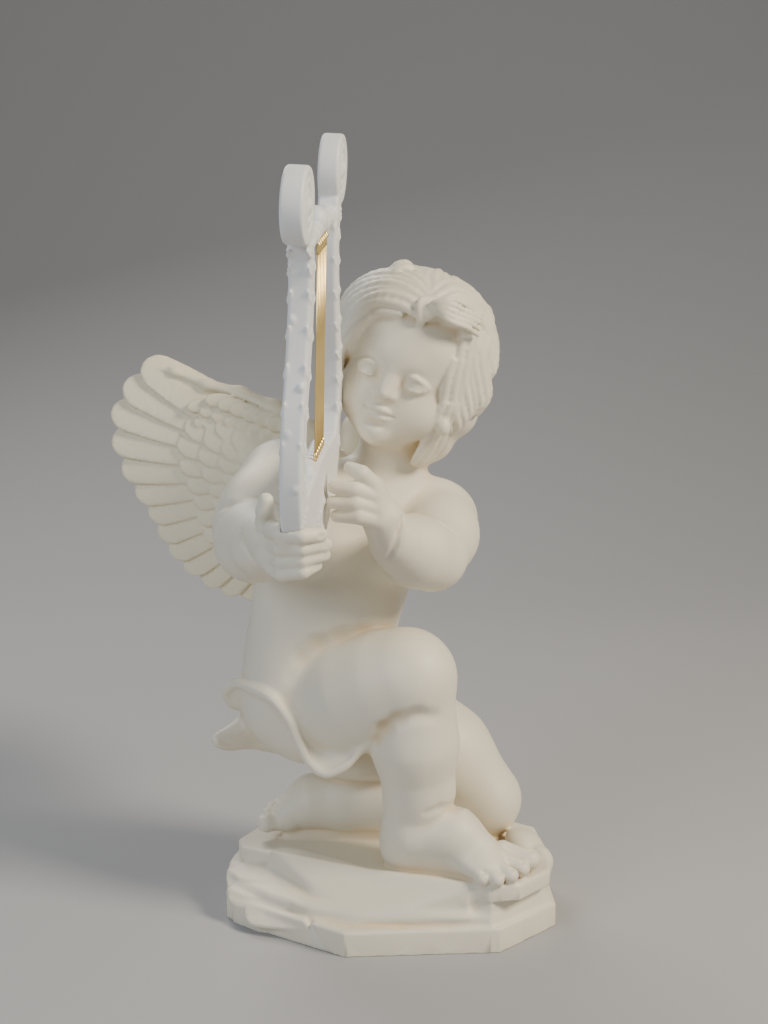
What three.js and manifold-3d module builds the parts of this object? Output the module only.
// A kneeling winged child playing a lyre, on a low layered rock. Millimetres, +Z up.
// The child, both wings, the loin cloth and the rock are one casting. The lyre is a second
// casting held in the hands, with six gold wires for strings.

import * as THREE from 'three';
import { mergeVertices } from 'three/addons/utils/BufferGeometryUtils.js';
import Module from 'manifold-3d';

const wasm = await Module();
wasm.setup();

// Driving dimensions
const statueHeight = 450;
const lyreHeight = 207;
const lyreThickness = 11;
const discDiameter = 36;
const discThickness = 11;
const crossbarHeight = 9;
const soundboxRise = 50;
const stringCount = 6;
const stringDiameter = 1.2;
const stringSpacing = 5;
const stringGap = 0.3;
const castingGap = 0.3;
const clayCell = 3.2;
// A surface point keeps this share of a cell away from the cell's corners
const cornerMargin = 0.12;
const castingTriangles = 7900;
// Slivers thinner than this are closed up after the cuts
const finestEdge = 0.1;

// The pose is drawn on a figure 450 high, so one share is a 450th of the statue's height
const share = statueHeight / 450;

// Short vector work on plain [x, y, z] lists
const plus = (a, b) => [a[0] + b[0], a[1] + b[1], a[2] + b[2]];
const minus = (a, b) => [a[0] - b[0], a[1] - b[1], a[2] - b[2]];
const times = (a, k) => [a[0] * k, a[1] * k, a[2] * k];
const dot = (a, b) => a[0] * b[0] + a[1] * b[1] + a[2] * b[2];
const cross = (a, b) => [
  a[1] * b[2] - a[2] * b[1],
  a[2] * b[0] - a[0] * b[2],
  a[0] * b[1] - a[1] * b[0],
];
const unit = (a) => times(a, 1 / Math.hypot(...a));
const between = (a, b, t) => plus(a, times(minus(b, a), t));

// A turn in degrees about x, then y, then z, as three axes
function turned(degrees) {
  const euler = new THREE.Euler(...degrees.map(THREE.MathUtils.degToRad), 'ZYX');
  const matrix = new THREE.Matrix4().makeRotationFromEuler(euler);
  return [0, 1, 2].map((column) => {
    const axis = new THREE.Vector3().setFromMatrixColumn(matrix, column);
    return axis.toArray();
  });
}

// Lumps of clay. Each has the box it fills and at(x, y, z), which is below zero inside it.

// An egg with three radii, turned by degrees
function egg(centre, radii, turn = [0, 0, 0]) {
  const [u, v, w] = turned(turn);
  const reach = Math.max(...radii);
  const [rx, ry, rz] = radii;
  const at = (x, y, z) => {
    const px = x - centre[0];
    const py = y - centre[1];
    const pz = z - centre[2];
    const a = (px * u[0] + py * u[1] + pz * u[2]) / rx;
    const b = (px * v[0] + py * v[1] + pz * v[2]) / ry;
    const c = (px * w[0] + py * w[1] + pz * w[2]) / rz;
    const near = Math.sqrt(a * a + b * b + c * c);
    const slope = Math.sqrt((a / rx) ** 2 + (b / ry) ** 2 + (c / rz) ** 2);
    return slope > 1e-9 ? near * (near - 1) / slope : -reach;
  };
  return { low: centre.map((c) => c - reach), high: centre.map((c) => c + reach), at };
}

// A limb: a tapering round bar from one ball to another
function limb(start, startRadius, end, endRadius) {
  const [ax, ay, az] = minus(end, start);
  const length2 = ax * ax + ay * ay + az * az;
  const at = (x, y, z) => {
    const px = x - start[0];
    const py = y - start[1];
    const pz = z - start[2];
    const t = Math.min(1, Math.max(0, (px * ax + py * ay + pz * az) / length2));
    const gap = Math.sqrt((px - ax * t) ** 2 + (py - ay * t) ** 2 + (pz - az * t) ** 2);
    return gap - (startRadius + (endRadius - startRadius) * t);
  };
  const reach = Math.max(startRadius, endRadius);
  return {
    low: start.map((s, i) => Math.min(s, end[i]) - reach),
    high: start.map((s, i) => Math.max(s, end[i]) + reach),
    at,
  };
}

// A blade, for feathers: a flat bar with a rounded tip, as wide as width and as thick as depth
function blade(root, tip, face, width, depth) {
  const length = Math.hypot(...minus(tip, root));
  const along = unit(minus(tip, root));
  const side = unit(cross(face, along));
  const front = cross(along, side);
  const at = (x, y, z) => {
    const px = x - root[0];
    const py = y - root[1];
    const pz = z - root[2];
    const s = px * along[0] + py * along[1] + pz * along[2];
    const q = px * side[0] + py * side[1] + pz * side[2];
    const n = px * front[0] + py * front[1] + pz * front[2];
    const t = Math.min(1, Math.max(0, s / length));
    const half = width * (0.6 + 0.4 * Math.sin(Math.PI * Math.min(1, t * 0.8 + 0.1)));
    const over = Math.max(0, s - (length - half)) + Math.max(0, -s);
    const flat = Math.sqrt(q * q + over * over) - half;
    const thick = Math.abs(n) - depth * (1 - 0.45 * (q / half) * (q / half));
    return Math.max(flat, thick);
  };
  return {
    low: root.map((r, i) => Math.min(r, tip[i]) - width),
    high: root.map((r, i) => Math.max(r, tip[i]) + width),
    at,
  };
}

// A rock slab: a many-sided outline between two heights, with its upper edge worn round
function slab(corners, bottom, top, worn, slope = [0, 0]) {
  const xs = corners.map((c) => c[0]);
  const ys = corners.map((c) => c[1]);
  const at = (x, y, z) => {
    let flat = Infinity;
    let inside = false;
    corners.forEach((a, i) => {
      const b = corners[(i + 1) % corners.length];
      const ex = b[0] - a[0];
      const ey = b[1] - a[1];
      const t = Math.min(1, Math.max(0, ((x - a[0]) * ex + (y - a[1]) * ey) / (ex * ex + ey * ey)));
      flat = Math.min(flat, Math.hypot(x - a[0] - ex * t, y - a[1] - ey * t));
      const crosses = (a[1] > y) !== (b[1] > y);
      if (crosses && x < a[0] + ex * (y - a[1]) / ey) inside = !inside;
    });
    const rim = (inside ? -flat : flat) + worn;
    const lid = z - top - slope[0] * x - slope[1] * y + worn;
    const round = Math.hypot(Math.max(rim, 0), Math.max(lid, 0)) + Math.min(Math.max(rim, lid), 0);
    return Math.max(round - worn, bottom - z);
  };
  const rise = Math.abs(slope[0]) * 100 + Math.abs(slope[1]) * 80;
  return {
    low: [Math.min(...xs), Math.min(...ys), bottom],
    high: [Math.max(...xs), Math.max(...ys), top + rise],
    at,
  };
}

// Each body part below is a list of [lump, blend], where blend is how softly it joins the rest.
// A third entry of 'cut' presses the lump into the clay.

function chain(points, blend) {
  return points.slice(1).map(([end, radius], i) => [limb(...points[i], end, radius), blend]);
}

// A groove pressed in along a path
function groove(points, blend) {
  return chain(points, blend).map(([lump, soft]) => [lump, soft, 'cut']);
}

function rock() {
  const footprint = [[-96, -20], [-91, -31], [-60, -53], [-26, -77], [61, -71], [96, -34],
    [95, 30], [64, 68], [-30, 76], [-82, 50], [-97, 14]];
  const skirt = [[-96, 6], [-94, -18], [-72, -38], [-47, -56], [-18, -66], [12, -69], [56, -69],
    [92, -34], [90, 30], [56, 64], [-30, 70], [-80, 46]];
  const middle = [[-92, 12], [-87, -4], [-70, -14], [-46, -29], [-14, -45], [22, -58], [56, -68],
    [90, -36], [88, 28], [54, 60], [-30, 66], [-76, 44]];
  const table = [[-93, 14], [-90, -2], [-72, -12], [-48, -27], [-16, -43], [20, -57], [55, -69],
    [72, -66], [91, -44], [94, -24], [90, 30], [54, 62], [-30, 68], [-78, 46]];
  const lumps = [
    [slab(footprint, -4, 14.5, 2), 1],
    [slab(skirt, 0, 22, 5), 3],
    [slab(middle, 0, 30, 4), 4],
    [slab(table, 27.5, 36.8, 2.6, [0.01, -0.012]), 2.5],
    // The front of the table slopes down to the ledge, and fills up under the shin
    [slab([[-72, -16], [-46, -27], [-14, -43], [22, -56], [42, -66], [2, -67], [-30, -59], [-62, -44]],
      0, 72.7, 3, [0.28, 0.75]), 3],
    [limb([-62, 16, 37], 5, [20, 19, 37], 8), 4],
  ];
  // Strata that fan out across the front left corner, each lower one reaching further forward
  const strata = [
    [[[-97, 4], [-98, -8], [-90, -20], [-50, -34], [-44, -26], [-70, 8]], 26.5],
    [[[-96, -2], [-97, -22], [-86, -32], [-48, -42], [-44, -30]], 21],
    [[[-95, -14], [-92, -30], [-76, -44], [-46, -50], [-40, -36]], 15.5],
  ];
  for (const [corners, top] of strata) lumps.push([slab(corners, 0, top, 2, [-0.01, 0.06]), 1.2]);
  // A lens-shaped ledge along the front
  lumps.push([egg([-4, -58, 19.5], [53, 8, 4.5], [0, 0, -10]), 1.5]);
  // The boulder that stands up behind the toes
  lumps.push([egg([80, -4, 38], [12, 14, 9], [0, 20, 0]), 3]);
  return lumps;
}

function torso() {
  return [
    [egg([-45, 6, 126], [46, 38, 36], [0, 0, 30]), 12],
    [egg([-42, 5, 158], [46, 36, 40], [0, 0, 30]), 18],
    [egg([-34, 3, 200], [47, 35, 42], [0, -8, 22]), 20],
    [egg([-24, 4, 232], [48, 33, 30], [0, 14, 19]), 18],
    [limb([-54, -6, 252], 22, [22, 14, 236], 21), 16],
    [limb([-4, 9, 248], 22, [4, 5, 288], 20), 12],
    [egg([-38, -27, 222], [16, 9, 12], [0, 0, 10]), 9],
    [egg([0, -19, 216], [16, 9, 12], [0, 0, 30]), 9],
    [egg([-46, 32, 236], [15, 9, 20], [0, 10, 20]), 10],
    [egg([6, 38, 226], [15, 9, 20], [0, -10, 20]), 10],
    [egg([-64, 28, 118], [27, 27, 28]), 10],
    [egg([-22, 46, 118], [25, 20, 27]), 10],
    [egg([-24, -18, 182], [26, 16, 20], [0, 0, 14]), 14],
    [egg([-14, 16, 88], [36, 22, 16]), 8],
    // The fold between belly and thigh
    ...groove([[[-58, -38, 150], 2], [[-46, -37, 164], 3.5], [[-14, -37, 176], 3.5], [[2, -38, 180], 2.5]], 7),
  ];
}

// The head is drawn upright at the origin with its face to -Y, then tilted onto the neck
const headCentre = [11, -3, 326];
const headTurn = [4, 20, -14];
const headAxes = turned(headTurn);
const onHead = (p) => plus(headCentre, plus(plus(times(headAxes[0], p[0]), times(headAxes[1], p[1])),
  times(headAxes[2], p[2])));

function skull() {
  const lumps = [
    [egg(onHead([0, 5, 8]), [39, 42, 39], headTurn), 8],
    [egg(onHead([0, -8, -14]), [32, 31, 32], headTurn), 10],
    [egg(onHead([0, -20, 10]), [29, 20, 22], headTurn), 10],
    [egg(onHead([0, -28, -35]), [12, 11, 10], headTurn), 10],
    [limb(onHead([0, -35, -2]), 3.4, onHead([0, -41.5, -14]), 4.6), 5],
    [limb(onHead([-6, -37, -25]), 2.4, onHead([6, -37, -25]), 2.4), 3],
    [limb(onHead([-4, -36, -29.5]), 2.8, onHead([4, -36, -29.5]), 2.8), 3],
  ];
  for (const side of [-1, 1]) {
    lumps.push([egg(onHead([side * 17, -22, -20]), [15, 14, 14], headTurn), 8]);
    lumps.push([egg(onHead([side * 14, -40, -2]), [8.5, 5.5, 6], headTurn), 5, 'cut']);
    lumps.push([egg(onHead([side * 13.5, -31.5, -2.5]), [7, 6, 5.5], headTurn), 1.5]);
    lumps.push([egg(onHead([side * 37, 0, -9]), [5, 8, 11], headTurn), 4]);
  }
  return lumps;
}

// A lock of hair: two strands side by side along a path over the skull, meeting at its tip
function lock(path, thick) {
  const middle = onHead([0, 7, 4]);
  const lumps = [];
  for (const side of [-1, 1]) {
    const points = path.map((place, i) => {
      const ahead = minus(path[Math.min(i + 1, path.length - 1)], path[Math.max(i - 1, 0)]);
      const taper = 1 - 0.6 * (i / (path.length - 1)) ** 2;
      const across = times(unit(cross(ahead, minus(place, middle))), side * 0.62 * thick * taper);
      return [plus(place, across), thick * taper];
    });
    lumps.push(...chain(points, 1.5));
  }
  return lumps;
}

function hair() {
  const lumps = [
    [egg(onHead([0, 9, 13]), [41, 41.5, 38.5], headTurn), 4],
    [egg([43, -3, 330], [15, 22, 28]), 6],
    [egg([38, -3, 301], [15, 18, 18]), 6],
    [egg([24, 2, 286], [16, 18, 18]), 6],
  ];
  // Waves from the crown down over the hidden side and the back
  const backLocks = 13;
  for (let n = 0; n < backLocks; n += 1) {
    const around = THREE.MathUtils.degToRad(68 + (236 / (backLocks - 1)) * n);
    for (const [top, bottom] of [[78, 30], [34, -22]]) {
      const path = [];
      for (let step = 0; step <= 3; step += 1) {
        const up = THREE.MathUtils.degToRad(top + (bottom - top) * step / 3);
        const a = around + 0.16 * Math.sin(step * 2.1 + n);
        const out = [Math.cos(up) * Math.sin(a), -Math.cos(up) * Math.cos(a), Math.sin(up)];
        path.push(onHead([out[0] * 41, 7 + out[1] * 44, 10 + out[2] * 40]));
      }
      lumps.push(...lock(path, 4.2));
    }
  }
  // Locks swept from the parting over the brow to each side, and down beside the face
  const swept = [
    [[16, -40, 357], [-4, -33, 364], [-24, -17, 351]],
    [[18, -37, 363], [-1, -24, 374], [-24, -2, 366]],
    [[-12, -30, 358], [-27, -18, 341], [-31, -12, 322], [-27, -12, 308]],
    [[22, -36, 366], [16, -22, 377], [2, -8, 382]],
    [[24, -36, 367], [38, -22, 370], [52, -8, 358]],
    [[40, -31, 360], [52, -22, 346], [58, -14, 328], [60, -12, 316]],
    [[48, -32, 346], [50, -27, 324], [56, -16, 306]],
    [[45, -34, 334], [44, -30, 312], [52, -17, 295]],
    [[38, -31, 312], [35, -25, 296], [32, -14, 280]],
    [[31, -24, 292], [22, -18, 278], [20, -11, 266]],
    [[56, -4, 344], [59, 3, 320], [51, 4, 297]],
  ];
  for (const path of swept) lumps.push(...lock(path, 4.2));
  // The curl on the crown and the forelock that rolls over the brow
  lumps.push(...lock([[-2, -15, 377], [5, -16, 381], [12, -15, 378]], 3.4));
  lumps.push(...lock([[21, -44, 352], [27, -45, 358], [38, -40, 357], [48, -33, 350]], 5));
  lumps.push(...lock([[19, -42, 359], [14, -44, 352], [14, -44, 347]], 2.4));
  return lumps;
}

function arms() {
  return [
    ...chain([[[-62, -10, 257], 26], [[-72, -34, 243], 24], [[-77, -47, 236], 22]], 8),
    ...chain([[[-75, -56, 232], 21.5], [[-73, -70, 233], 21.5], [[-67, -90, 235], 16.5],
      [[-64, -98, 236], 13.5]], 4),
    ...groove([[[-96, -52, 248], 1.2], [[-82, -67, 254], 2.2], [[-70, -88, 250], 1.2]], 3),
    ...chain([[[28, 12, 233], 23.5], [[27, -8, 227], 22.5], [[24, -25, 221], 21]], 8),
    ...chain([[[23, -33, 219], 20.5], [[13, -46, 224], 20], [[4, -58, 230], 15], [[2, -62, 232], 13.5]], 4),
    ...groove([[[7, -30, 246], 1.2], [[21, -42, 243], 2.2], [[36, -42, 234], 1.2]], 3),
  ];
}

// The right hand cups the foot of the lyre with its fingers across the front
function rightHand() {
  const lumps = [
    [limb([-63, -101, 237], 13.5, [-58, -114, 238], 12.5), 5],
    [egg([-57, -121, 236.5], [13, 12, 12]), 5],
    ...chain([[[-62, -108, 243], 6.5], [[-64, -118, 253], 4.8], [[-63, -123, 262.5], 3.8]], 2),
  ];
  for (let i = 0; i < 4; i += 1) {
    const z = 249.5 - i * 5.5;
    const reach = [0, 2.2, 1.5, -2.5][i];
    const arch = [4.5, 2.5, 1, 0][i];
    lumps.push(...chain([
      [[-60, -127, z - 2.5 + 0.7 * arch], 5],
      [[-55, -139, z - 3 + arch], 4.6],
      [[-45, -145, z - 1.5 + 0.5 * arch], 4.2],
      [[-35 + reach, -141, z + 1], 3.6],
    ], 1.2));
  }
  return lumps;
}

// The left hand plucks the strings with its fingers pointing away from the wrist
function leftHand() {
  const lumps = [
    [limb([1, -64, 232], 13, [-5, -72, 248], 11), 5],
    [limb([-6, -62, 242], 5.5, [-20, -58, 252], 4.4), 4],
  ];
  const tips = [[-22, -80, 274], [-31, -82, 263], [-32, -82, 254.5], [-29, -81, 247]];
  tips.forEach((tip, i) => {
    const knuckle = [-9 + i * 0.8, -77, 264 - i * 6.8];
    const middle = plus(between(knuckle, tip, 0.5), [0, -3.5, 1.5]);
    lumps.push([limb([-4, -70, 252 - i * 3], 6, knuckle, 5.2), 2.5]);
    lumps.push(...chain([[knuckle, 4.9], [middle, 4.5], [tip, 3.6]], 1.5));
  });
  return lumps;
}

// A row of toes from their roots to their tips
function toes(roots, tips, sizes) {
  return roots.map((root, i) => [limb(root, sizes[i] * 0.85, tips[i], sizes[i]), 1.2]);
}

function raisedLeg() {
  return [
    ...chain([[[-46, -6, 123], 33], [[-18, -27, 137], 31], [[0, -38, 147], 28.5],
      [[10, -44, 152], 25.5]], 10),
    [egg([12, -47, 154.5], [17, 18.5, 18.5]), 14],
    ...chain([[[13.5, -43, 136], 23.5], [[13.5, -42, 112], 24.5], [[16, -38, 84], 20],
      [[12, -35, 60], 16.5]], 5),
    [limb([9, -32, 52], 15, [12, -35, 60], 16.5), 6],
    ...groove([[[-8, -56, 118], 1], [[4, -66, 133], 1.8], [[24, -66, 134], 1]], 6),
    ...chain([[[14, -37, 58], 18], [[36, -43, 58], 15], [[50, -47, 51], 11]], 8),
    [egg([52, -50, 45.5], [17, 17, 9.5], [0, 8, -28]), 6],
    [limb([6, -33, 47], 12, [40, -46, 42], 9), 6],
    ...toes([[44, -58, 45], [50, -58, 46.5], [56, -56, 48], [62, -51, 49], [64, -43, 49.5]],
      [[51, -66.5, 42], [59, -68.5, 42], [67, -64.5, 43], [74, -57, 44], [79, -48, 46]],
      [4.1, 4.2, 4.4, 4.6, 6.2]),
  ];
}

function kneelingLeg() {
  return [
    ...chain([[[-8, 26, 118], 32], [[32, 23, 87], 28.5], [[57, 18, 60], 23]], 10),
    ...chain([[[56, 18, 58], 22], [[8, 20, 59], 21], [[-28, 20, 58], 18], [[-48, 19, 58], 15.5]], 6),
    ...chain([[[-48, 19, 57], 15], [[-60, 17, 52], 11]], 6),
    [limb([-64, 14, 49], 7.5, [-60, 34, 49], 7.5), 5],
    ...toes([[-66, 12, 47], [-66, 20, 49], [-65, 27, 50], [-63, 34, 50], [-60, 40, 49]],
      [[-75, 10.5, 47], [-75, 20, 50], [-73, 27, 51], [-70, 34, 51], [-66, 41, 50]],
      [6.4, 4.0, 3.7, 3.5, 3.3]),
  ];
}

// The loin cloth: ribs of clay from the wavy hem back to the hip, and the rolled hem itself
function loinCloth() {
  const hem = new THREE.CatmullRomCurve3([
    [-14, -48, 115], [-21, -49, 107], [-27, -49.5, 101], [-37, -48, 96.5], [-46, -45, 102], [-52, -43, 113],
    [-58, -41, 126], [-68, -34, 136], [-81, -23, 140], [-90, -14, 140], [-97, -5, 133], [-94, 0, 124],
    [-86, 6, 119], [-92, 0, 111], [-103, -9, 105], [-97, -5, 99.5], [-84, 3, 98], [-66, 12, 92],
    [-44, 24, 86],
  ].map((p) => new THREE.Vector3(...p)));
  const roots = new THREE.CatmullRomCurve3([
    [-20, -34, 128], [-36, -24, 118], [-52, -18, 122], [-64, -6, 126], [-68, 6, 124], [-64, 14, 114],
    [-40, 26, 104],
  ].map((p) => new THREE.Vector3(...p)));
  const ribs = 80;
  const lumps = [];
  for (let i = 0; i < ribs; i += 1) {
    const t = i / (ribs - 1);
    const edge = hem.getPoint(t).toArray();
    lumps.push([limb(edge, 2.4, roots.getPoint(t).toArray(), 6), 3]);
    if (i > 0) {
      lumps.push([limb(hem.getPoint((i - 1) / (ribs - 1)).toArray(), 2.6, edge, 2.6), 1.5]);
    }
  }
  return lumps;
}

// A wing spreads out from the shoulder blade: a leading edge, a fan of long feathers and three
// rows of coverts that overlap them. place() puts a point of the right wing where the wing goes.
function wing(place) {
  const face = minus(place([0, -1, 0.06]), place([0, 0, 0]));
  const edge = [[[-34, 22, 262], 11], [[-52, 24, 284], 8], [[-70, 27, 296], 6.5], [[-90, 32, 305], 5],
    [[-110, 35, 311], 4], [[-130, 39, 319], 3.4]];
  const lumps = [
    ...chain(edge.map(([p, radius]) => [place(p), radius]), 5),
    [limb(place([-34, 20, 232]), 11, place([-48, 24, 262]), 11), 8],
    [limb(place([-50, 24, 262]), 8, place([-84, 31, 284]), 3.5), 8],
    [limb(place([-50, 24, 256]), 7, place([-80, 29, 240]), 3), 8],
  ];
  const centre = [-62, 22, 258];
  const rows = [
    { count: 13, length: 1, longer: 0, width: 13, depth: 2.4, forward: 0 },
    { count: 11, length: 0.6, longer: 0.26, width: 10, depth: 2.4, forward: 2.8 },
    { count: 9, length: 0.44, longer: 0.2, width: 9, depth: 2.4, forward: 5 },
    { count: 7, length: 0.28, longer: 0.12, width: 8, depth: 2.4, forward: 7 },
  ];
  for (const row of rows) {
    for (let i = 0; i < row.count; i += 1) {
      const t = i / (row.count - 1);
      const angle = THREE.MathUtils.degToRad(143 + 108 * t);
      const fade = THREE.MathUtils.smoothstep(t, 0.1, 0.55);
      const reach = (row.length + row.longer * t * t) * (109.5 + 7 * t + 36 * t * (1 - t) - 34 * fade);
      const tip = plus(centre, [reach * Math.cos(angle), reach * 0.2, reach * Math.sin(angle)]);
      const rootWay = between([-26, 8, 42], [10, 0, -24], t);
      const root = plus(centre, times(rootWay, 0.2 + 0.36 * row.length));
      const over = times(cross(unit(minus(tip, root)), [0, -1, 0]), 0.22);
      const twist = minus(place(over), place([0, 0, 0]));
      const forward = [0, -row.forward, 0];
      lumps.push([blade(place(plus(root, forward)), place(plus(tip, forward)), plus(face, twist),
        row.width * (1 - 0.2 * t), row.depth), 0.8]);
    }
  }
  return lumps;
}

// The hidden left wing is the right one seen in a mirror that stands along the spine
const spinePoint = [-26, 22, 0];
const spineAcross = unit([0.8, 0.6, 0]);
const mirrored = (p) => minus(p, times(spineAcross, 2 * dot(minus(p, spinePoint), spineAcross)));

// The clay is a grid of distances to the surface
function pressClay(lumps, cell) {
  const margin = 3 * cell;
  const low = [0, 1, 2].map((i) => Math.min(...lumps.map(([lump]) => lump.low[i])) - margin);
  const high = [0, 1, 2].map((i) => Math.max(...lumps.map(([lump]) => lump.high[i])) + margin);
  const size = low.map((value, i) => Math.ceil((high[i] - value) / cell) + 1);
  const field = new Float32Array(size[0] * size[1] * size[2]).fill(1000);
  for (const [lump, blend, mode] of lumps) {
    const reach = blend + 2 * cell;
    const from = low.map((value, i) => Math.max(0, Math.floor((lump.low[i] - reach - value) / cell)));
    const to = low.map((value, i) => Math.min(size[i] - 1, Math.ceil((lump.high[i] + reach - value) / cell)));
    for (let k = from[2]; k <= to[2]; k += 1) {
      for (let j = from[1]; j <= to[1]; j += 1) {
        for (let i = from[0]; i <= to[0]; i += 1) {
          const index = i + size[0] * (j + size[1] * k);
          const gap = lump.at(low[0] + i * cell, low[1] + j * cell, low[2] + k * cell);
          const old = field[index];
          if (mode === 'cut') {
            const soft = Math.max(blend - Math.abs(old + gap), 0) / blend;
            field[index] = Math.max(old, -gap) + soft * soft * blend / 4;
          } else {
            const soft = Math.max(blend - Math.abs(old - gap), 0) / blend;
            field[index] = Math.min(old, gap) - soft * soft * blend / 4;
          }
        }
      }
    }
  }
  return { low, size, cell, field };
}

// The skin of the clay, by marching through six tetrahedra in each cell
function skin({ low, size, cell, field }) {
  const corners = [[0, 1, 2], [1, 2, 0], [2, 0, 1], [0, 2, 1], [2, 1, 0], [1, 0, 2]];
  const step = [1, size[0], size[0] * size[1]];
  const points = [];
  const triangles = [];
  const seen = new Map();
  const place = (index) => [
    low[0] + (index % size[0]) * cell,
    low[1] + (Math.floor(index / size[0]) % size[1]) * cell,
    low[2] + Math.floor(index / step[2]) * cell,
  ];
  const crossing = (a, b) => {
    const from = Math.min(a, b);
    const to = Math.max(a, b);
    const key = from * 8 + [step[0], step[1], step[2], step[0] + step[1], step[1] + step[2],
      step[0] + step[2], step[0] + step[1] + step[2]].indexOf(to - from);
    if (!seen.has(key)) {
      const t = THREE.MathUtils.clamp(field[from] / (field[from] - field[to]), cornerMargin, 1 - cornerMargin);
      seen.set(key, points.length);
      points.push(between(place(from), place(to), t));
    }
    return seen.get(key);
  };
  const even = (order) => {
    let swaps = 0;
    for (let i = 0; i < 4; i += 1) {
      for (let j = i + 1; j < 4; j += 1) swaps += order[i] > order[j] ? 1 : 0;
    }
    return swaps % 2 === 0;
  };
  for (let k = 0; k < size[2] - 1; k += 1) {
    for (let j = 0; j < size[1] - 1; j += 1) {
      for (let i = 0; i < size[0] - 1; i += 1) {
        const base = i + size[0] * j + step[2] * k;
        const solid = field[base] < 0;
        let mixed = false;
        for (let corner = 1; corner < 8 && !mixed; corner += 1) {
          const index = base + (corner & 1) + ((corner >> 1) & 1) * step[1] + (corner >> 2) * step[2];
          mixed = (field[index] < 0) !== solid;
        }
        if (!mixed) continue;
        corners.forEach((axes, which) => {
          const path = [base, base + step[axes[0]], base + step[axes[0]] + step[axes[1]],
            base + step[0] + step[1] + step[2]];
          if (which > 2) [path[2], path[3]] = [path[3], path[2]];
          const inside = [0, 1, 2, 3].filter((n) => field[path[n]] < 0);
          const outside = [0, 1, 2, 3].filter((n) => field[path[n]] >= 0);
          if (inside.length === 0 || outside.length === 0) return;
          const single = inside.length === 1 ? inside : outside;
          const order = inside.length === 2 ? [...inside, ...outside]
            : [...single, ...(single === inside ? outside : inside)];
          if (!even(order)) [order[2], order[3]] = [order[3], order[2]];
          const [a, b, c, d] = order.map((n) => path[n]);
          if (inside.length === 2) {
            const ring = [crossing(a, c), crossing(a, d), crossing(b, d), crossing(b, c)];
            triangles.push([ring[0], ring[1], ring[2]], [ring[0], ring[2], ring[3]]);
          } else {
            const ring = [crossing(a, b), crossing(a, c), crossing(a, d)];
            triangles.push(single === inside ? ring : ring.reverse());
          }
        });
      }
    }
  }
  return { points, triangles };
}

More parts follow.
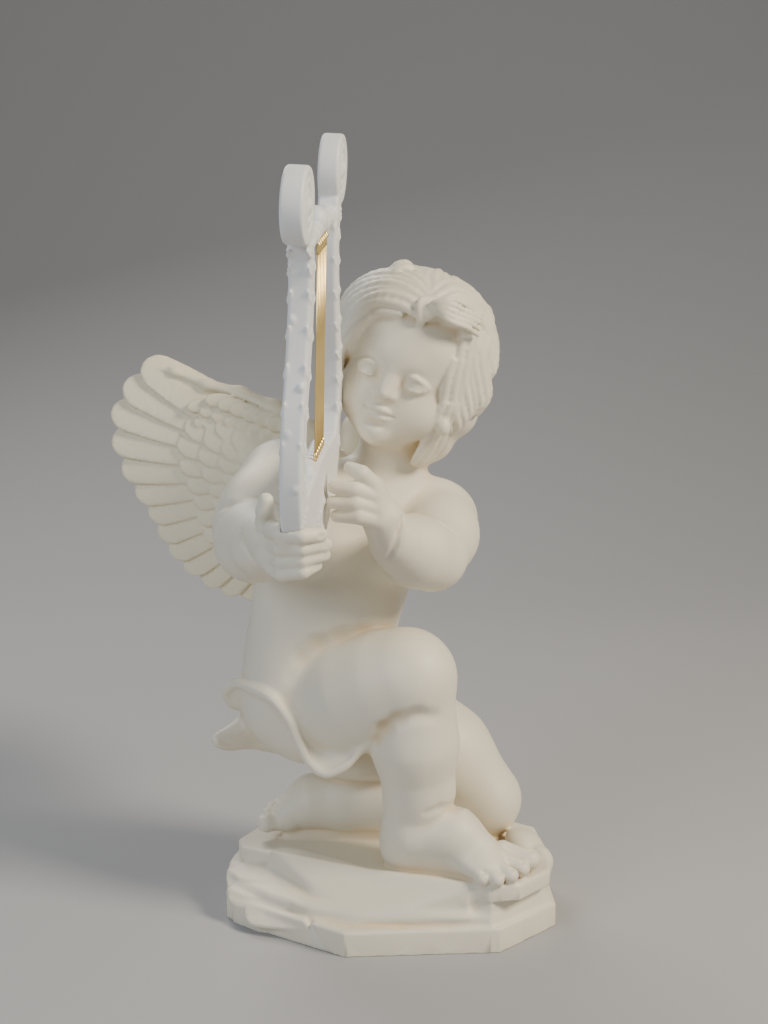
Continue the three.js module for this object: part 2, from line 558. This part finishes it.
// Fewer, larger triangles: the edge whose loss moves the surface least is closed up, again and
// again. Each point keeps the sum of the planes it stood on, as ten numbers.
function thinOut({ points, triangles }, target) {
  const spots = new Float64Array(points.flat());
  const corners = new Int32Array(triangles.flat());
  const planes = new Float64Array(points.length * 10);
  const around = points.map(() => []);
  const stamp = new Uint32Array(points.length);
  const dropped = new Uint8Array(triangles.length);
  let count = triangles.length;

  const facing = [0, 0, 0];
  // Twice the area of a triangle, with its direction left in facing
  const face = (ax, ay, az, bx, by, bz, cx, cy, cz) => {
    facing[0] = (by - ay) * (cz - az) - (bz - az) * (cy - ay);
    facing[1] = (bz - az) * (cx - ax) - (bx - ax) * (cz - az);
    facing[2] = (bx - ax) * (cy - ay) - (by - ay) * (cx - ax);
    return Math.sqrt(facing[0] ** 2 + facing[1] ** 2 + facing[2] ** 2);
  };
  for (let t = 0; t < triangles.length; t += 1) {
    const [a, b, c] = triangles[t].map((n) => n * 3);
    const area = face(spots[a], spots[a + 1], spots[a + 2], spots[b], spots[b + 1], spots[b + 2],
      spots[c], spots[c + 1], spots[c + 2]) + 1e-12;
    const [x, y, z] = facing.map((value) => value / area);
    const w = -(x * spots[a] + y * spots[a + 1] + z * spots[a + 2]);
    const plane = [x * x, x * y, x * z, x * w, y * y, y * z, y * w, z * z, z * w, w * w];
    for (const n of triangles[t]) {
      for (let i = 0; i < 10; i += 1) planes[n * 10 + i] += plane[i] * area;
      around[n].push(t);
    }
  }

  const q = new Float64Array(10);
  const error = (x, y, z) => q[0] * x * x + 2 * q[1] * x * y + 2 * q[2] * x * z + 2 * q[3] * x
    + q[4] * y * y + 2 * q[5] * y * z + 2 * q[6] * y + q[7] * z * z + 2 * q[8] * z + q[9];
  const chosen = [0, 0, 0];
  // The cost of closing edge a-b, with the best place for the joined point left in chosen
  const costOf = (a, b) => {
    for (let i = 0; i < 10; i += 1) q[i] = planes[a * 10 + i] + planes[b * 10 + i];
    const ax = spots[a * 3];
    const ay = spots[a * 3 + 1];
    const az = spots[a * 3 + 2];
    const bx = spots[b * 3];
    const by = spots[b * 3 + 1];
    const bz = spots[b * 3 + 2];
    const span2 = (ax - bx) ** 2 + (ay - by) ** 2 + (az - bz) ** 2;
    let lowest = Infinity;
    const tryPoint = (x, y, z) => {
      const cost = error(x, y, z);
      if (cost < lowest) {
        lowest = cost;
        chosen[0] = x;
        chosen[1] = y;
        chosen[2] = z;
      }
    };
    tryPoint((ax + bx) / 2, (ay + by) / 2, (az + bz) / 2);
    tryPoint(ax, ay, az);
    tryPoint(bx, by, bz);
    const m0 = q[4] * q[7] - q[5] * q[5];
    const m1 = q[1] * q[7] - q[5] * q[2];
    const m2 = q[1] * q[5] - q[4] * q[2];
    const det = q[0] * m0 - q[1] * m1 + q[2] * m2;
    const size = q[0] + q[4] + q[7];
    if (Math.abs(det) > 1e-4 * size ** 3) {
      const x = (-q[3] * m0 + q[6] * m1 - q[8] * m2) / det;
      const y = (q[3] * m1 - q[6] * (q[0] * q[7] - q[2] * q[2]) + q[8] * (q[0] * q[5] - q[1] * q[2])) / det;
      const z = (-q[3] * m2 + q[6] * (q[0] * q[5] - q[1] * q[2]) - q[8] * (q[0] * q[4] - q[1] * q[1])) / det;
      const away = (x - (ax + bx) / 2) ** 2 + (y - (ay + by) / 2) ** 2 + (z - (az + bz) / 2) ** 2;
      if (away < 2 * span2) tryPoint(x, y, z);
    }
    return Math.max(lowest, 0) + 1e-5 * span2;
  };

  // A heap of edges, the cheapest first. An entry is out of date once a stamp has moved on.
  const heapCost = [];
  const heapEdge = [];
  const swap = (i, j) => {
    [heapCost[i], heapCost[j]] = [heapCost[j], heapCost[i]];
    [heapEdge[i], heapEdge[j]] = [heapEdge[j], heapEdge[i]];
  };
  const offer = (a, b) => {
    heapCost.push(costOf(a, b));
    heapEdge.push([a, b, stamp[a] + stamp[b]]);
    let i = heapCost.length - 1;
    while (i > 0 && heapCost[(i - 1) >> 1] > heapCost[i]) {
      swap(i, (i - 1) >> 1);
      i = (i - 1) >> 1;
    }
  };
  const cheapest = () => {
    const edge = heapEdge[0];
    const lastCost = heapCost.pop();
    const lastEdge = heapEdge.pop();
    if (heapCost.length === 0) return edge;
    heapCost[0] = lastCost;
    heapEdge[0] = lastEdge;
    let i = 0;
    for (;;) {
      let child = 2 * i + 1;
      if (child >= heapCost.length) return edge;
      if (child + 1 < heapCost.length && heapCost[child + 1] < heapCost[child]) child += 1;
      if (heapCost[child] >= heapCost[i]) return edge;
      swap(i, child);
      i = child;
    }
  };
  const neighbours = (a) => {
    const found = [];
    for (const t of around[a]) {
      for (let i = 0; i < 3; i += 1) {
        const n = corners[t * 3 + i];
        if (n !== a && !found.includes(n)) found.push(n);
      }
    }
    return found;
  };
  // Closing up an edge must not turn a triangle over or leave a needle where there was none
  const longest = (ax, ay, az, bx, by, bz, cx, cy, cz) => Math.max(
    (ax - bx) ** 2 + (ay - by) ** 2 + (az - bz) ** 2,
    (bx - cx) ** 2 + (by - cy) ** 2 + (bz - cz) ** 2,
    (cx - ax) ** 2 + (cy - ay) ** 2 + (cz - az) ** 2,
  ) + 1e-12;
  const spoils = (moved, other) => {
    const [mx, my, mz] = chosen;
    for (const t of around[moved]) {
      const at = [corners[t * 3], corners[t * 3 + 1], corners[t * 3 + 2]].indexOf(moved);
      const i = corners[t * 3 + (at + 1) % 3];
      const j = corners[t * 3 + (at + 2) % 3];
      if (i === other || j === other) continue;
      const [ax, ay, az] = [spots[moved * 3], spots[moved * 3 + 1], spots[moved * 3 + 2]];
      const [bx, by, bz] = [spots[i * 3], spots[i * 3 + 1], spots[i * 3 + 2]];
      const [cx, cy, cz] = [spots[j * 3], spots[j * 3 + 1], spots[j * 3 + 2]];
      const wasArea = face(ax, ay, az, bx, by, bz, cx, cy, cz);
      const [x, y, z] = facing;
      const isArea = face(mx, my, mz, bx, by, bz, cx, cy, cz);
      const agree = (x * facing[0] + y * facing[1] + z * facing[2]) / (wasArea * isArea + 1e-12);
      const wasShape = wasArea / longest(ax, ay, az, bx, by, bz, cx, cy, cz);
      const isShape = isArea / longest(mx, my, mz, bx, by, bz, cx, cy, cz);
      if (wasShape > 0.03 && agree < 0.3) return true;
      if (isShape < 0.03 && isShape < wasShape) return true;
    }
    return false;
  };

  for (const [a, b, c] of triangles) {
    if (a < b) offer(a, b);
    if (b < c) offer(b, c);
    if (c < a) offer(c, a);
  }
  while (count > target && heapCost.length > 0) {
    const [a, b, when] = cheapest();
    if (around[a].length === 0 || around[b].length === 0 || when !== stamp[a] + stamp[b]) continue;
    const nearA = neighbours(a);
    const shared = neighbours(b).filter((n) => nearA.includes(n));
    if (shared.length !== 2 || !nearA.includes(b)) continue;
    costOf(a, b);
    if (spoils(a, b) || spoils(b, a)) continue;
    for (const t of around[b]) {
      const slot = [0, 1, 2].find((i) => corners[t * 3 + i] === b);
      const hasA = [0, 1, 2].some((i) => corners[t * 3 + i] === a);
      if (hasA) {
        dropped[t] = 1;
        count -= 1;
        for (let i = 0; i < 3; i += 1) {
          const n = corners[t * 3 + i];
          if (n !== b) around[n] = around[n].filter((other) => other !== t);
        }
      } else {
        corners[t * 3 + slot] = a;
        around[a].push(t);
      }
    }
    around[b] = [];
    for (let i = 0; i < 3; i += 1) spots[a * 3 + i] = chosen[i];
    for (let i = 0; i < 10; i += 1) planes[a * 10 + i] += planes[b * 10 + i];
    stamp[a] += 1;
    for (const n of neighbours(a)) offer(a, n);
  }
  const left = [];
  for (let t = 0; t < triangles.length; t += 1) {
    if (!dropped[t]) left.push([corners[t * 3], corners[t * 3 + 1], corners[t * 3 + 2]]);
  }
  return { points: points.map((_, n) => [spots[n * 3], spots[n * 3 + 1], spots[n * 3 + 2]]), triangles: left };
}

// Solids for the exact joins and cuts
function solidOf(geometry) {
  const bare = geometry.index ? geometry.toNonIndexed() : geometry.clone();
  for (const name of Object.keys(bare.attributes)) if (name !== 'position') bare.deleteAttribute(name);
  const merged = mergeVertices(bare, 1e-4);
  return new wasm.Manifold(new wasm.Mesh({
    numProp: 3,
    vertProperties: new Float32Array(merged.attributes.position.array),
    triVerts: new Uint32Array(merged.index.array),
  }));
}

function geometryOf(solid) {
  const { vertProperties, triVerts } = solid.getMesh();
  const geometry = new THREE.BufferGeometry();
  geometry.setAttribute('position', new THREE.BufferAttribute(new Float32Array(vertProperties), 3));
  geometry.setIndex(new THREE.BufferAttribute(new Uint32Array(triVerts), 1));
  geometry.computeVertexNormals();
  return geometry;
}

// The lyre is drawn flat, x across and y up from the middle of its foot, and then stood in the
// hands by lyrePose. Its outline follows its own height.
const lyreShare = lyreHeight / 207;
const lyreFoot = times([-42.5, -78, 233], share);
const lyreRoll = THREE.MathUtils.degToRad(1.7);
const lyreLean = THREE.MathUtils.degToRad(13.4);
const lyreTurn = THREE.MathUtils.degToRad(84);
const lyrePose = new THREE.Matrix4().makeTranslation(...lyreFoot)
  .multiply(new THREE.Matrix4().makeRotationY(lyreRoll))
  .multiply(new THREE.Matrix4().makeRotationX(lyreLean))
  .multiply(new THREE.Matrix4().makeRotationZ(lyreTurn))
  .multiply(new THREE.Matrix4().makeRotationX(Math.PI / 2));

const armOuter = [[16, 0], [44, 9], [64, 30], [71, 58], [67, 86], [57, 112], [50, 138], [49, 158], [56, 178]];
const armInner = [[44, 182], [35, 160], [36, 138], [43, 112], [53, 86], [56, 60], [50, 46]];
const discCentre = [56, 189].map((value) => value * lyreShare);
const crossbarLevel = 168 * lyreShare;
const bridgeLevel = soundboxRise - 2;
const rimBeads = [[70, 60, 3.2], [66, 84, 2.6], [57, 106, 2.8], [49, 134, 2.6], [57, 24, 3.2], [40, 12, 3]];

function lyreOutline(grow) {
  const outline = new THREE.Shape();
  const flip = (points) => points.map(([x, y]) => new THREE.Vector2(-x, y));
  const plain = (points) => points.map(([x, y]) => new THREE.Vector2(x, y));
  const scaled = (points) => points.map(([x, y]) => [x * lyreShare, y * lyreShare]);
  const outer = scaled(armOuter).map(([x, y]) => [x + grow, y - grow]);
  const inner = scaled(armInner).map(([x, y]) => [x - grow, y + grow]);
  outline.moveTo(-outer[0][0], outer[0][1]);
  outline.lineTo(...outer[0]);
  outline.splineThru(plain(outer.slice(1)));
  outline.lineTo(...inner[0]);
  outline.splineThru(plain(inner.slice(1)));
  outline.lineTo(0, soundboxRise + grow);
  outline.lineTo(-inner[inner.length - 1][0], inner[inner.length - 1][1]);
  outline.splineThru(flip(inner.slice(0, -1)).reverse());
  outline.lineTo(-outer[outer.length - 1][0], outer[outer.length - 1][1]);
  outline.splineThru(flip(outer.slice(0, -1)).reverse());
  return outline;
}

function lyreSolid(grow) {
  const thickness = lyreThickness + 2 * grow;
  const body = new THREE.ExtrudeGeometry(lyreOutline(grow), {
    depth: thickness, bevelEnabled: false, curveSegments: 2,
  });
  body.translate(0, 0, -thickness / 2);
  let solid = solidOf(body);
  for (const side of [-1, 1]) {
    const disc = new THREE.CylinderGeometry(discDiameter / 2 + grow, discDiameter / 2 + grow,
      discThickness + 2 * grow, 36);
    disc.rotateX(Math.PI / 2);
    disc.translate(side * discCentre[0], discCentre[1], 0);
    solid = solid.add(solidOf(disc));
    for (const [x, y, size] of rimBeads) {
      const bead = new THREE.IcosahedronGeometry(size * lyreShare + grow, 1);
      bead.translate(side * x * lyreShare, y * lyreShare, 0);
      solid = solid.add(solidOf(bead));
    }
  }
  const roll = (length, level) => {
    const bar = new THREE.CylinderGeometry(crossbarHeight / 2 + grow, crossbarHeight / 2 + grow,
      length * lyreShare, 16);
    bar.rotateZ(Math.PI / 2);
    bar.translate(0, level, 0);
    return solidOf(bar);
  };
  const knob = new THREE.SphereGeometry(7 * lyreShare + grow, 14, 10);
  knob.translate(0, crossbarLevel + crossbarHeight / 2, 0);
  return solid.add(roll(88, crossbarLevel)).add(roll(40, bridgeLevel)).add(solidOf(knob));
}

// The casting: pressed as clay at 450 high, thinned out, scaled to the real height, trimmed flat
// underneath and hollowed where the lyre sits
function castingGeometry() {
  const lumps = [...rock(), ...torso(), ...skull(), ...hair(), ...arms(), ...raisedLeg(),
    ...kneelingLeg(), ...wing((p) => p), ...wing(mirrored), ...loinCloth(), ...rightHand(),
    ...leftHand()];
  const { points, triangles } = thinOut(skin(pressClay(lumps, clayCell)), castingTriangles);
  const geometry = new THREE.BufferGeometry();
  const flat = triangles.flatMap((triangle) => triangle.flatMap((n) => times(points[n], share)));
  geometry.setAttribute('position', new THREE.BufferAttribute(new Float32Array(flat), 3));
  const groundDepth = 40 * share;
  const ground = new THREE.BoxGeometry(600 * share, 600 * share, groundDepth);
  ground.translate(0, 0, -groundDepth / 2);
  const lyreRoom = lyreSolid(castingGap).transform(lyrePose.elements);
  const casting = solidOf(geometry).subtract(solidOf(ground)).subtract(lyreRoom);
  return geometryOf(casting.asOriginal().simplify(finestEdge));
}

const ivory = new THREE.MeshStandardMaterial({ color: 0xe4dcc6, roughness: 0.6, metalness: 0 });
const coolWhite = new THREE.MeshStandardMaterial({ color: 0xe2e0dc, roughness: 0.55, metalness: 0 });
const gold = new THREE.MeshStandardMaterial({ color: 0xd9a441, roughness: 0.3, metalness: 1 });

const statue = new THREE.Group();

const cherub = new THREE.Mesh(castingGeometry(), ivory);
cherub.name = 'cherub';
statue.add(cherub);

const lyre = new THREE.Group();
lyre.applyMatrix4(lyrePose);
statue.add(lyre);

const lyreFrame = new THREE.Mesh(geometryOf(lyreSolid(0)), coolWhite);
lyreFrame.name = 'lyre_frame';
lyre.add(lyreFrame);

// The strings lie in front of the bars' middles and end just clear of them
const stringForward = 0.35 * crossbarHeight;
const barEdge = Math.sqrt((crossbarHeight / 2) ** 2 - stringForward ** 2);
const stringBottom = bridgeLevel + barEdge + stringGap;
const stringTop = crossbarLevel - barEdge - stringGap;
for (let i = 0; i < stringCount; i += 1) {
  const wire = new THREE.CylinderGeometry(stringDiameter / 2, stringDiameter / 2,
    stringTop - stringBottom, 8);
  const string = new THREE.Mesh(wire, gold);
  string.name = `lyre_string_${i + 1}`;
  string.position.set((i - (stringCount - 1) / 2) * stringSpacing, (stringTop + stringBottom) / 2,
    stringForward);
  lyre.add(string);
}

export default statue;
